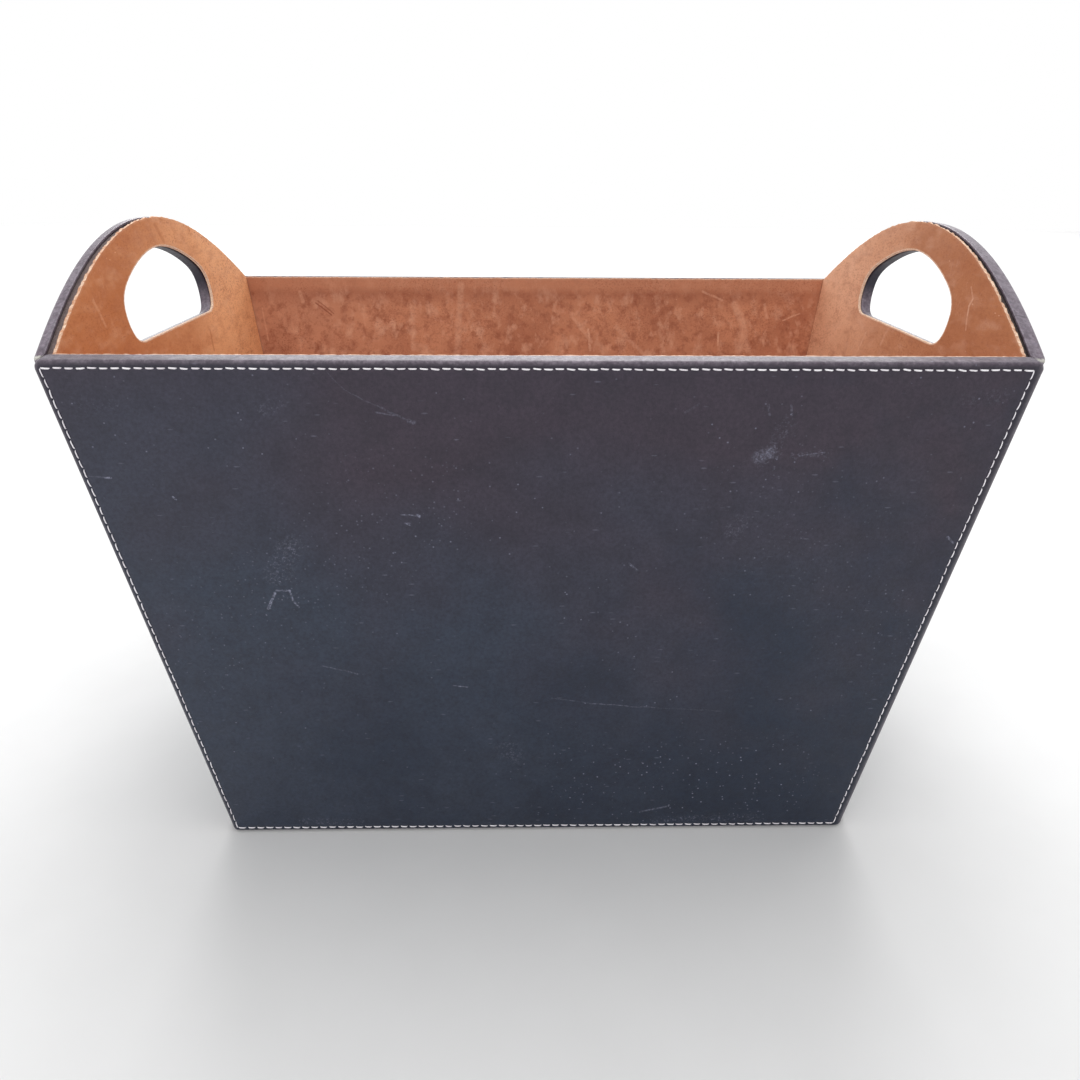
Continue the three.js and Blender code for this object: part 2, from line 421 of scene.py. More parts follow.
class Panel:
    """A sewn panel: its edges are rounded over, turned back over the board and sunk along the seam."""

    def __init__(self, wall, side_inset, rounds, turns):
        self.wall = wall
        self.side_inset = side_inset
        self.rounds = rounds
        self.turns = turns
        self.corners = END_CORNERS if wall.arched else LONG_CORNERS
        self.samples = Samples(wall, side_inset)
        self.tips = Corners(wall, side_inset, 0, 0)
        self.sheet = Sheet(wall)
        self.loops = []
        self.turn_back()
        self.roll_over()
        self.sew()
        self.sheet.close(self.loops, HOLE_ROLL, SLEEVE + LINING_GAP)

    def wear_and_highlight_of(self, spot, weights, worn):
        """The wear and painted highlight of a point: more of both along an arch, and most wear at its tips.
        """
        if not self.wall.arched:
            return worn
        tip = Vector((math.copysign(self.tips.top_half, spot.x), self.tips.top))
        at_tip = max(0, 1 - (spot - tip).length / TIP_WEAR_REACH)
        return worn * (1 + ARCH_WEAR_AND_HIGHLIGHT * weights["rim"]) + TIP_WEAR * at_tip

    def add(self, insets, depths=None, seam=0, worn=0.0, border=1.0, outside=True):
        """Lays a loop at insets from the rim, the sides and the foot, at depths or on the rounded edge."""
        rim, side, foot = insets
        depths = depths or [round_over(inset, radius) for inset, radius in zip(insets, self.rounds)]
        outline = Corners(self.wall, self.side_inset + side, rim, foot)
        inset = sum(insets) / 3
        radii = [max(corner - inset, LEAST_CORNER) for corner in self.corners]
        shift = SEAM_SHIFTS.get(self.wall.name, 0) * min(1, side / ROW_SIDE)
        points, wear_and_highlight_of = [], []
        for index, (spot, weights) in enumerate(rounded_loop(outline, self.samples, *radii)):
            hole = 0.5 + 0.5 * math.cos(2 * math.pi * index / PER_STITCH)
            depth = blend(weights, depths) + seam * (VALLEY_DEPTH + HOLE_DEPTH * hole * (seam == 1))
            if outside:
                depth -= swelling(self.wall, weights, rim)
            points.append((spot.x + shift, spot.y, depth))
            wear_and_highlight_of.append(self.wear_and_highlight_of(spot, weights, worn))
        self.loops.append(self.sheet.loop(points, border, wear_and_highlight_of))

    def turn_back(self):
        """The edges behind the outline: the leather's back, and the cut end of what is turned back."""
        flat = (COVER,) * 3
        cut = tuple(COVER if turn > COVER else COVER * SKIVED_SHARE for turn in self.turns)
        inner = tuple(max(turn - INNER_BEVEL, COVER + LEAST_TURN) for turn in self.turns)
        self.add((COVER + CUT_MARGIN,) * 3, flat, outside=False)
        self.add(cut, flat, outside=False)
        self.add(cut, inner, outside=False)
        for share, worn in CUT_POINTS:
            self.add(tuple(inset * share for inset in cut), self.turns, worn=worn, outside=False)
        outer = tuple(max(turn - OUTER_BEVEL, r + LEAST_CUT) for turn, r in zip(self.turns, self.rounds))
        self.add((0, 0, 0), outer, worn=CUT_WEAR_AND_HIGHLIGHT, outside=False)

    def roll_over(self):
        """The rounded edge, from the outline to the seam's furrow."""
        for step in range(ROUND_STEPS):
            share = step / (ROUND_STEPS - 1)
            angle = math.pi / 2 * share
            insets = tuple((row - VALLEY_HALF) * (1 - math.cos(angle)) for row in ROWS)
            # The outer part of each rounded edge is lightened: a painted highlight from the light above,
            # partly wear.
            self.add(insets, worn=min(1, ROLL_WEAR_AND_HIGHLIGHT * (1 - share)))

    def sew(self):
        for offset, seam in FURROW:
            self.add([row + offset for row in ROWS], seam=seam, border=1.0 if offset < 0 else 0.0)

# Where a lining's rim is torn, how wide the tear is to either side, and how deep
TEAR_PLACES = {"right": -87}
TEAR_HALF = 2.2
TEAR_DEPTH = 1.6


def tear(wall, across):
    if wall.name not in TEAR_PLACES:
        return 0
    return TEAR_DEPTH * max(0, 1 - abs(across - TEAR_PLACES[wall.name]) / TEAR_HALF)


# A lining's edge, as (inset, depth, how ragged), from its face to its back
LINING_EDGE = [
    (2, WALL, 0), (0.7, WALL, 0.15), (0.35, WALL - 0.02, 0.8), (0.1, WALL - 0.2, 1),
    (0, LINING_FRONT + 0.5, 1), (0.2, LINING_FRONT, 1), (1.5, LINING_FRONT, 0),
]
LINING_CORNERS = (0.6, 0.6)

# How uneven its rim is, and how much of that a point has of its own and from the one before it
LONG_SHAKE = 0.4
END_SHAKE = 1.1
OWN_SHAKE = 0.75
SHARED_SHAKE = 0.25

# Its edge round the hand hole, as (distance, depth, how pale), from its back to its face
LINING_HOLE = [
    (1.6, LINING_FRONT, 0), (0.3, LINING_FRONT, 2), (0.1, LINING_FRONT + 0.3, 2),
    (0.1, WALL - 0.25, 2), (0.3, WALL - 0.02, 2), (0.8, WALL, 0.9), (1.2, WALL, 0), (2, WALL, 0),
]


def lining(wall, side_inset):
    """A lining glued on the board, with its raw edges showing and its rim cut unevenly."""
    samples = Samples(wall, side_inset)
    foot = (FLOOR_TOP + LINING_GAP - LINING_FRONT * math.sin(wall.lean)) / math.cos(wall.lean)
    reach = END_SHAKE if wall.arched else LONG_SHAKE
    shaker = random.Random(wall.name)
    ragged = [shaker.uniform(0, 1) for _ in range(sum(len(s) for s in samples.shares.values()))]
    sheet = Sheet(wall)
    loops = []
    for inset, depth, edge in LINING_EDGE:
        corners = Corners(wall, side_inset + inset, LINING_DROP + inset, foot + inset)
        points, edges = [], []
        for index, (spot, weights) in enumerate(rounded_loop(corners, samples, *LINING_CORNERS)):
            shake = OWN_SHAKE * ragged[index] + SHARED_SHAKE * ragged[index - 1]
            drop = reach * shake + tear(wall, spot.x)
            points.append((spot.x, spot.y - drop * weights["rim"] * edge, depth))
            edges.append(edge * weights["rim"])
        loops.append(sheet.loop(points, edges))
    sheet.close(loops, LINING_HOLE)
    return sheet


# A sleeve's section, as (distance from the cut, depth), from its outer lip in to its inner one
SLEEVE_SECTION = [
    (SLEEVE, 2), (SLEEVE, 1.6), (1.05, 1.32), (0.84, 1.4), (0.7, 1.8), (0.56, 2.6), (0.36, 4.2),
    (0.16, 5.6), (0.06, BOARD_BACK - 0.9), (0.2, BOARD_BACK - 0.4), (0.5, BOARD_BACK - 0.12),
    (0.85, BOARD_BACK - 0.06), (SLEEVE - 0.1, BOARD_BACK - 0.3), (SLEEVE, BOARD_BACK - 1),
]

# A painted highlight at the foot of the hole, given to the charcoal material as wear, and the share of the
# hole's height over which it fades
SLEEVE_HIGHLIGHT = 2.2
SLEEVE_HIGHLIGHT_SHARE = 0.4


def sleeve(wall):
    """The leather that lines a hand hole, rounded over at both of its lips, with a painted highlight at its
    foot and painted shade towards its top.
    """
    sheet = Sheet(wall)
    rings = []
    low = wall.slant - HOLE_DROP
    for grow, depth in SLEEVE_SECTION:
        outline = hand_hole(wall, grow)
        rise = [(p.y - low) / HOLE_HEIGHT for p in outline]
        worn = [SLEEVE_HIGHLIGHT * max(0, 1 - share / SLEEVE_HIGHLIGHT_SHARE) for share in rise]
        # The share up the hole is given as the edge, so the charcoal material darkens the sleeve towards
        # its top with painted shade.
        rings.append(sheet.loop([(p.x, p.y, depth) for p in outline], rise, worn))
    sheet.bridge_all(rings + rings[:1])
    return sheet


# The thread: each stitch dives into the leather at both ends
STITCH_RINGS = 9
STITCH_SIDES = 8

# How the stitches differ: off the row in millimetres, in length, slant (in degrees) and thickness
STITCH_SWAY = 0.12
STITCH_STRETCH = (0.94, 1.06)
STITCH_TURN = 2.2
STITCH_GIRTH = (0.92, 1.08)

# The shape of a stitch
THREAD_TAPER = 0.45
THREAD_TIP = 0.35
STITCH_DIVE = 0.52
STITCH_RISE = 0.04
STITCH_FLATNESS = 0.8


def stitch(wall, middle, lay, length, radius, lift):
    """The points of a stitch, ring by ring along its lay."""
    across = Vector((-lay.y, lay.x))
    points = []
    for ring in range(STITCH_RINGS):
        share = ring / (STITCH_RINGS - 1) * 2 - 1
        girth = radius * (1 - THREAD_TAPER * share ** 6) * (THREAD_TIP if abs(share) == 1 else 1)
        sink = STITCH_DIVE * abs(share) ** 4
        centre = middle + lay * share * length / 2
        for side in range(STITCH_SIDES):
            angle = 2 * math.pi * side / STITCH_SIDES
            spot = centre + across * girth * math.cos(angle)
            depth = sink - lift - STITCH_RISE - STITCH_FLATNESS * girth * math.sin(angle)
            points.append(wall.point(spot.x, spot.y, depth))
    return points


def stitch_faces(first):
    """The faces of a stitch whose points start at a number."""
    faces = []
    for ring in range(STITCH_RINGS - 1):
        for side in range(STITCH_SIDES):
            a = first + ring * STITCH_SIDES + side
            b = first + ring * STITCH_SIDES + (side + 1) % STITCH_SIDES
            faces.append((a, a + STITCH_SIDES, b + STITCH_SIDES, b))
    last = first + (STITCH_RINGS - 1) * STITCH_SIDES
    faces.append([first + side for side in range(STITCH_SIDES)])
    faces.append([last + side for side in reversed(range(STITCH_SIDES))])
    return faces


def stitching(wall, samples):
    shaker = random.Random(wall.name + " seam")
    vertices, faces, tones = [], [], []
    for edge in EDGES:
        lift = swelling(wall, {"rim": edge == "rim"}, ROW_RIM)
        count = samples.stitches[edge]
        shares = samples.shares[edge] + [1]
        for index in range(count):
            start = samples.row.at(edge, shares[index * PER_STITCH])
            end = samples.row.at(edge, shares[(index + 1) * PER_STITCH])
            along = (end - start).normalized()
            aside = Vector((-along.y, along.x))
            middle = (start + end) / 2 + aside * shaker.uniform(-STITCH_SWAY, STITCH_SWAY)
            middle.x += SEAM_SHIFTS.get(wall.name, 0)
            length = STITCH_LENGTHS[edge] * shaker.uniform(*STITCH_STRETCH)
            reach = CORNER_REACH * ((index == count - 1) - (index == 0))
            middle += along * reach / 2
            length += abs(reach)
            slant = math.radians(shaker.gauss(STITCH_SLANTS[edge], STITCH_TURN))
            lay = along * math.cos(slant) + aside * math.sin(slant)
            radius = THREAD_RADII[edge] * shaker.uniform(*STITCH_GIRTH)
            faces += stitch_faces(len(vertices))
            vertices += stitch(wall, middle, lay, length, radius, lift)
            tones += [shaker.random()] * (STITCH_RINGS * STITCH_SIDES)
    mesh = bpy.data.meshes.new(wall.name + "_stitches")
    mesh.from_pydata(vertices, [], faces)
    mesh.attributes.new("tone", "FLOAT", "POINT").data.foreach_set("value", tones)
    return mesh


# Materials


def srgb(red, green, blue):
    def linear(value):
        value /= 255
        return value / 12.92 if value <= 0.04045 else ((value + 0.055) / 1.055) ** 2.4
    return (linear(red), linear(green), linear(blue), 1)


UP = (0.0, 0.0, 1.0)
RIGHTWARDS = (1.0, 0.0, 0.0)
BACKWARDS = (0.0, 1.0, 0.0)

# A stroke or a speck is fully there up to this share of its half width or radius
STROKE_CORE = 0.4
SPECK_CORE = 0.5

# The share of the chosen specks that are fully there, and the size of the waves in which strokes wander
SPECK_SURE = 0.5
WANDER_SIZE = 9


class Paint:
    """A material's nodes, made and linked in one call each, with its colour and the place of its noises."""

    def __init__(self, name, roughness, specular=0.5):
        self.material = bpy.data.materials.new(name)
        self.material.use_nodes = True
        self.tree = self.material.node_tree
        self.shader = self.tree.nodes["Principled BSDF"]
        self.shader.inputs["Roughness"].default_value = roughness
        self.shader.inputs["Specular IOR Level"].default_value = specular
        coordinates = self.add("TexCoord").outputs["Object"]
        self.place = self.vector("SCALE", coordinates, scale=1 / MM)
        self.where = self.place
        self.colour = None

    def add(self, kind, **settings):
        node = self.tree.nodes.new("ShaderNode" + kind)
        for key, value in settings.items():
            setattr(node, key, value)
        return node

    def put(self, socket, value):
        if isinstance(value, bpy.types.NodeSocket):
            self.tree.links.new(value, socket)
        elif value is not None:
            socket.default_value = value

    def math(self, operation, first, second=None, clamp=False):
        node = self.add("Math", operation=operation, use_clamp=clamp)
        self.put(node.inputs[0], first)
        self.put(node.inputs[1], second)
        return node.outputs[0]

    def plus(self, first, second):
        return self.math("ADD", first, second)

    def times(self, first, second, clamp=False):
        return self.math("MULTIPLY", first, second, clamp)

    def vector(self, operation, first, second=None, scale=None):
        node = self.add("VectorMath", operation=operation)
        self.put(node.inputs[0], first)
        self.put(node.inputs[1], second)
        self.put(node.inputs[3], scale)
        return node.outputs["Value" if operation in ("DOT_PRODUCT", "DISTANCE") else "Vector"]

    def along(self, direction):
        """How far a place lies in a direction, in millimetres."""
        return self.vector("DOT_PRODUCT", self.place, direction)

    def attribute(self, name, output="Fac"):
        return self.add("Attribute", attribute_name=name).outputs[output]

    def noise(self, size, detail=2.0, rough=0.5, place=None, output=0):
        node = self.add("TexNoise")
        self.put(node.inputs["Vector"], self.where if place is None else place)
        self.put(node.inputs["Scale"], 1 / size)
        self.put(node.inputs["Detail"], detail)
        self.put(node.inputs["Roughness"], rough)
        return node.outputs[output]

    def cells(self, size, place, feature="F1"):
        node = self.add("TexVoronoi", feature=feature)
        self.put(node.inputs["Vector"], place)
        self.put(node.inputs["Scale"], 1 / size)
        return node

    def band(self, value, low, high, out_low=0.0, out_high=1.0):
        node = self.add("MapRange")
        self.put(node.inputs["Value"], value)
        labels = ("From Min", "From Max", "To Min", "To Max")
        for label, number in zip(labels, (low, high, out_low, out_high)):
            self.put(node.inputs[label], number)
        return node.outputs[0]

    def cloud(self, noise, span):
        """The strength of a cloudy layer."""
        return self.band(self.noise(*noise), *span)

    def mix(self, share, first, second):
        node = self.add("Mix", data_type="RGBA")
        self.put(node.inputs[0], share)
        self.put(node.inputs[6], first)
        self.put(node.inputs[7], second)
        return node.outputs[2]

    def coat(self, share, other):
        """Mixes another colour over the colour so far."""
        self.colour = self.mix(share, self.colour, other)

    def wander(self, place, reach):
        """A place moved by up to about a reach, so that a straight stroke on it runs unevenly."""
        cloud = self.noise(WANDER_SIZE, place=self.place, output="Color")
        centred = self.vector("SUBTRACT", cloud, (0.5, 0.5, 0.5))
        moved = self.vector("ADD", place, self.vector("SCALE", centred, scale=reach * 2))
        return self.vector("MULTIPLY", moved, (1.0, 1.0, 0.0))

    def stroke(self, place, start, end, half_width, strength):
        """A strength on a straight stroke between two places, fading to 0 beside it."""
        run = Vector((*end, 0)) - Vector((*start, 0))
        offset = self.vector("SUBTRACT", place, (*start, 0))
        share = self.vector("DOT_PRODUCT", offset, tuple(run / run.length_squared))
        nearest = self.vector("SCALE", tuple(run), scale=self.times(share, 1.0, clamp=True))
        distance = self.vector("DISTANCE", offset, nearest)
        return self.band(distance, half_width * STROKE_CORE, half_width, strength, 0.0)

    def strokes(self, strokes, wandering):
        """The strongest of some strokes, which wander by up to a reach in millimetres."""
        place = self.wander(self.attribute("place", "Vector"), wandering)
        strongest = None
        for stroke in strokes:
            mark = self.stroke(place, *stroke)
            strongest = mark if strongest is None else self.math("MAXIMUM", strongest, mark)
        return strongest

    def marks(self, strokes, wandering, other, breaks=None):
        """Coats strokes with another colour, broken up by a cloudy layer."""
        if strokes:
            mark = self.strokes(strokes, wandering)
            self.coat(self.times(mark, self.cloud(*breaks)) if breaks else mark, other)

    def specks(self, size, share, radius, strength, stretch=(1.0, 1.0, 1.0)):
        """A strength on a share of the cells' middles, out to a radius in millimetres."""
        cells = self.cells(size, self.vector("MULTIPLY", self.where, stretch))
        chance = self.vector("DOT_PRODUCT", cells.outputs["Color"], RIGHTWARDS)
        chosen = self.band(chance, 1 - share, 1 - share * SPECK_SURE)
        dot = self.band(cells.outputs["Distance"], radius / size * SPECK_CORE, radius / size, strength, 0.0)
        return self.times(dot, chosen)

    def bump(self, height, depth, below=None):
        """Bumps of a depth in millimetres."""
        node = self.add("Bump")
        self.put(node.inputs["Height"], height)
        self.put(node.inputs["Distance"], depth * MM)
        self.put(node.inputs["Normal"], below)
        return node.outputs[0]

    def done(self, normal, roughness=None):
        self.put(self.shader.inputs["Base Color"], self.colour)
        self.put(self.shader.inputs["Normal"], normal)
        self.put(self.shader.inputs["Roughness"], roughness)
        return self.material


# The charcoal leather. A noise here is (size in millimetres, detail, roughness), and a cloudy layer adds
# the range of it that counts and, where they aren't 0 and 1, the strengths at its ends.
SLATE = srgb(53, 61, 77)
PLUM = srgb(63, 54, 66)
DARK = srgb(31, 31, 40)
DEEP_SLATE = srgb(39, 48, 65)
SCUFF = srgb(143, 145, 166)
# The next three colours lighten the rounded edges, partly as wear and partly as a painted highlight from
# the light above, and make a painted highlight at the foot of a hand hole; the last also bares the worn
# tips of the arches.
ROLL_WORN_AND_LIT = srgb(116, 103, 115)
RUBBED_AND_LIT = srgb(147, 137, 148)
BARE_AND_LIT = srgb(206, 204, 196)

# The wide clouds: a noise, and what is added to it from the foot to the rim and from left to right
PLUM_CLOUDS = ((110, 2, 0.55), (-0.33, 0.36), (-0.23, 0.13))
DEEP_CLOUDS = ((60, 3, 0.6), (0.2, -0.3), (-0.31, 0.25))
PATCHES = ((14, 4, 0.65), (0.4, 0.75, 0.0, 0.35))
FINE_MOTTLE = ((1.6, 4, 0.7), (0.35, 0.7, 0.0, 0.5))
SEAM_SHADE = 0.35

# Wear and painted highlight: the rubs and their spread, the range over which arch tips and the foot of a
# hand hole go bare-pale, and the fading of both across the front, strongest in the middle
RUBS = (2.2, 5, 0.7)
RUB_SPREAD = ((12, 2), (0.3, 0.7, -0.08, 0.08))
RUB_SPAN = (0.42, 0.7)
ROLL_STRENGTH = 0.6
RUB_STRENGTH = 0.7
TIP_BREAKS = (1.2, 3, 0.6)
TIP_SPAN = (2.75, 3.1)
FRONT_WEAR_AND_HIGHLIGHT = (15, 80, 1.2, 0.86)
WEAR_GLOSS = 0.14

# Specks, as (size of a cell, share of the cells that have one, radius, strength, stretch)
DOTS = (3.6, 0.45, 0.48, 0.5)
DASHES = (4, 0.4, 0.55, 0.22, (0.35, 0.35, 1.3))
SPRINKLES = (2.2, 0.5, 0.48, 1.0)
DOT_CROWDS = ((45, 2), (0.42, 0.6, 0.15, 1.0))

# Marks: what breaks them up, and how far they wander
SCRATCH_BREAKS = ((0.9, 3, 0.7), (0.44, 0.6, 0.1, 1.0))
SCUFF_BREAKS = ((1.3, 4, 0.75), (0.52, 0.68))
SCRATCH_WANDER = 0.8
SCUFF_WANDER = 2.5
SPECKLE_WANDER = 6
NICK_WANDER = 0.6

PORE_SIZE = 0.75
PORE_SPAN = (0.0, 0.12)
PORE_DEPTH = 0.022
WAVES = (5, 4, 0.6)
WAVE_DEPTH = 0.12
CHARCOAL_GLOSS = ((9, 4, 0.6), (0.3, 0.7, 0.44, 0.58))


def charcoal_ground(paint, across):
    """Slate and plum in wide clouds, more plum above and to the right, and dark patches."""
    height = paint.along(UP)

    def wide(noise, upwards, rightwards):
        drift = paint.band(height, 0, RIM_HEIGHT, *upwards)
        sideways = paint.band(across, -RIM_WIDTH / 2, RIM_WIDTH / 2, *rightwards)
        return paint.plus(paint.plus(paint.noise(*noise), drift), sideways)

    paint.colour = paint.mix(paint.band(wide(*PLUM_CLOUDS), 0.3, 0.8), SLATE, PLUM)
    paint.coat(paint.band(wide(*DEEP_CLOUDS), 0.4, 0.8), DEEP_SLATE)
    paint.coat(paint.cloud(*PATCHES), DARK)
    # Painted shade along a panel's rounded border and seam, and on a sleeve towards the top of its hand
    # hole.
    paint.coat(paint.times(paint.attribute("edge"), SEAM_SHADE, clamp=True), DARK)


def charcoal_wear_and_highlight(paint, worn):
    """Rounded edges lightened partly by wear and partly by a painted highlight, rubs on them, the bare tips
    of the arches, and a bare-pale painted highlight at the foot of a hand hole.
    """
    rubbed = paint.plus(paint.noise(*RUBS), paint.cloud(*RUB_SPREAD))
    rub = paint.times(worn, paint.band(rubbed, *RUB_SPAN), clamp=True)
    paint.coat(paint.times(worn, ROLL_STRENGTH, clamp=True), ROLL_WORN_AND_LIT)
    paint.coat(paint.times(rub, RUB_STRENGTH), RUBBED_AND_LIT)
    paint.coat(paint.band(paint.plus(worn, paint.noise(*TIP_BREAKS)), *TIP_SPAN), BARE_AND_LIT)


def charcoal_leather(name, scratches=(), scuffs=(), speckles=(), nicks=()):
    paint = Paint(name, 0.5, 0.3)
    across = paint.along(RIGHTWARDS)
    charcoal_ground(paint, across)
    worn = paint.attribute("worn")
    # On the front, the wear and painted highlight of the edges fade from the middle out to the sides.
    if scratches:
        worn = paint.times(worn, paint.band(paint.math("ABSOLUTE", across), *FRONT_WEAR_AND_HIGHLIGHT))
    charcoal_wear_and_highlight(paint, worn)
    paint.coat(paint.times(paint.specks(*DOTS), paint.cloud(*DOT_CROWDS)), SCUFF)
    paint.coat(paint.specks(*DASHES), SCUFF)
    paint.marks(scratches, SCRATCH_WANDER, SCUFF, SCRATCH_BREAKS)
    paint.marks(scuffs, SCUFF_WANDER, SCUFF, SCUFF_BREAKS)
    if speckles:
        paint.coat(paint.times(paint.strokes(speckles, SPECKLE_WANDER), paint.specks(*SPRINKLES)), SCUFF)
    paint.marks(nicks, NICK_WANDER, DARK)
    paint.coat(paint.cloud(*FINE_MOTTLE), DARK)
    pores = paint.cells(PORE_SIZE, paint.where, "DISTANCE_TO_EDGE")
    grain = paint.bump(paint.band(pores.outputs["Distance"], *PORE_SPAN), PORE_DEPTH)
    waves = paint.bump(paint.noise(*WAVES), WAVE_DEPTH, grain)
    rough = paint.math("SUBTRACT", paint.cloud(*CHARCOAL_GLOSS), paint.times(worn, WEAR_GLOSS))
    return paint.done(waves, rough)


# The tan leather, with its places in millimetres across or along the basket
TAN_CLOUDS = ((34, 3, 0.6), (0.35, 0.65))
CLOUD_STRENGTH = 0.45
LEFT_PALE = (-185, -90, 0.4, 0.0)
END_DRIFT = ((25, 3, 0.6), (0, 1, -35, 35))
END_FRONT = (-65, 20, 0.65, 0.0)
END_BACK = (0, 70, 0.0, 0.85)
BLOOMS = (8, 4, 0.6)

# What the linings of the ends and of the long walls have of their own
END_LOOK = {
    "stretch": (1.0, 0.5, 1.0), "mottle": 0.4, "bloom_stretch": (1.0, 1.0, 1.0), "blooms": 0.35,
    "nap": (1.0, 5, 0.8), "nap_strengths": (0.35, 0.85),
}
LONG_LOOK = {
    "stretch": (1.0, 1.0, 1.0), "mottle": 0.75, "bloom_stretch": (1.0, 1.0, 0.6), "blooms": 0.75,
    "nap": (1.2, 5, 0.8), "nap_strengths": (0.15, 0.7),
}
MOTTLE = (7, 6, 0.72)
MOTTLE_SPAN = (0.48, 0.68)
BLOOM_SPAN = (0.52, 0.7)
NAP_CLOUDS = (26, 2, 0.5)
NAP_CLOUD_SPAN = (0.4, 0.62)
NAP_SPAN = (0.5, 0.66)
NAP_DEPTH = 0.1

# The strips along the rim of a long wall, by the height up the wall
STRIP_WAVES = ((14, 3, 0.6), (0, 1, -1.5, 3.5))
DEEP_STRIP = (236, 246, 0.0, 0.45)
LIGHT_STRIP = (245, 250, 0.0, 0.55)
STRIP_PALENESS = 0.1

FLECKS = (3.2, 0.3, 0.4, 0.6)
HAIRS = (3.4, 2, 0.5)
HAIR_STRETCH = (1.0, 1.0, 0.22)
HAIR_SPAN = (0.0, 0.012, 0.2, 0.0)
HAIR_CLOUDS = ((15, 2, 0.5), (0.5, 0.6))
TAN_BREAKS = ((1.6, 3, 0.6), (0.35, 0.6, 0.4, 1.0))
TAN_WANDER = 1
CREASE_SHADE_WANDER = 0.6
RAW_LIGHT = srgb(244, 220, 196)
RAW_DEEP = srgb(196, 150, 122)
RAW_FIBRES = ((0.7, 4, 0.7), (0.35, 0.7))
RAW_BREAKS = ((2, 4, 0.65), (0.4, 0.58, 0.35, 1.0))
TAN_WAVES = (11, 3, 0.5)
TAN_WAVE_DEPTH = 0.25
TAN_GLOSS = ((6, 3, 0.6), (0.3, 0.7, 0.6, 0.82))


def tan_ground(paint, light, deep, pale, end):
    """Soft clouds, with colours of their own at the front and the back of an end."""
    paint.colour = paint.mix(paint.cloud(*TAN_CLOUDS), light, paint.mix(CLOUD_STRENGTH, light, deep))
    if end:
        along = paint.plus(paint.along(BACKWARDS), paint.cloud(*END_DRIFT))
        for span, colour in zip((END_FRONT, END_BACK), end):
            paint.coat(paint.band(along, *span), colour)
    else:
        paint.coat(paint.band(paint.along(RIGHTWARDS), *LEFT_PALE), pale)


def tan_strip(paint, light, deep, pale):
    """A darker and then a lighter strip along the rim of a long wall."""
    height = paint.vector("DOT_PRODUCT", paint.attribute("place", "Vector"), BACKWARDS)
    height = paint.plus(height, paint.cloud(*STRIP_WAVES))
    paint.coat(paint.band(height, *DEEP_STRIP), deep)
    paint.coat(paint.band(height, *LIGHT_STRIP), paint.mix(STRIP_PALENESS, light, pale))


def tan_hairs(paint, pale):
    """Thin pale lines that run up the leather in places."""
    hairs = paint.noise(*HAIRS, paint.vector("MULTIPLY", paint.place, HAIR_STRETCH))
    middle = paint.math("ABSOLUTE", paint.math("SUBTRACT", hairs, 0.5))
    paint.coat(paint.times(paint.band(middle, *HAIR_SPAN), paint.cloud(*HAIR_CLOUDS)), pale)


def raw_edge(paint):
    cream = paint.mix(paint.cloud(*RAW_FIBRES), RAW_LIGHT, RAW_DEEP)
    paint.coat(paint.times(paint.attribute("edge"), paint.cloud(*RAW_BREAKS), clamp=True), cream)


def tan_leather(name, light, deep, pale, scratches=(), crease_shade=(), strip=False, end=()):
    paint = Paint(name, 0.7, 0.2)
    look = END_LOOK if end else LONG_LOOK
    paint.where = paint.vector("MULTIPLY", paint.place, look["stretch"])
    tan_ground(paint, light, deep, pale, end)
    paint.coat(paint.band(paint.noise(*MOTTLE), *MOTTLE_SPAN, 0.0, look["mottle"]), deep)
    blooms = paint.noise(*BLOOMS, paint.vector("MULTIPLY", paint.where, look["bloom_stretch"]))
    paint.coat(paint.band(blooms, *BLOOM_SPAN, 0.0, look["blooms"]), pale)
    if strip:
        tan_strip(paint, light, deep, pale)
    nap = paint.noise(*look["nap"])
    rougher = paint.band(paint.noise(*NAP_CLOUDS), *NAP_CLOUD_SPAN, *look["nap_strengths"])
    paint.coat(paint.times(paint.band(nap, *NAP_SPAN), rougher), deep)
    paint.coat(paint.specks(*FLECKS), pale)
    tan_hairs(paint, pale)
    paint.marks(scratches, TAN_WANDER, pale, TAN_BREAKS)
    # Painted shade along the creases of the lining.
    paint.marks(crease_shade, CREASE_SHADE_WANDER, deep)
    raw_edge(paint)
    waves = paint.bump(paint.noise(*TAN_WAVES), TAN_WAVE_DEPTH, paint.bump(nap, NAP_DEPTH))
    return paint.done(waves, paint.cloud(*TAN_GLOSS))


# Board, thread and wire
BOARD_SPAN = (0.35, 0.7)
THREAD_LIGHT = srgb(253, 250, 254)
THREAD_SHADE = srgb(232, 226, 232)
THREAD_SOIL = srgb(166, 157, 162)
SOILED = ((1.5, 3, 0.6), (0.55, 0.8, 0.0, 0.45))
WIRE_DARK = srgb(150, 150, 154)
WIRE_LIGHT = srgb(205, 205, 208)


def board_fibre(name, dark, light):
    paint = Paint(name, 0.85, 0.3)
    fibres = paint.noise(0.8, 5, 0.75)
    paint.colour = paint.mix(paint.band(fibres, *BOARD_SPAN), dark, light)
    return paint.done(paint.bump(fibres, 0.5))


def waxed_thread():
    paint = Paint("waxed_thread", 0.55, 0.4)
    paint.colour = paint.mix(paint.attribute("tone"), THREAD_LIGHT, THREAD_SHADE)
    paint.coat(paint.cloud(*SOILED), THREAD_SOIL)
    return paint.done(paint.bump(paint.noise(0.25, 2, 0.5), 0.05))


def bright_wire():
    paint = Paint("bright_wire", 0.35)
    drawn = paint.noise(0.3, 3, 0.6)
    paint.colour = paint.mix(drawn, WIRE_DARK, WIRE_LIGHT)
    paint.shader.inputs["Metallic"].default_value = 1.0
    return paint.done(paint.bump(drawn, 0.02))


# The pieces

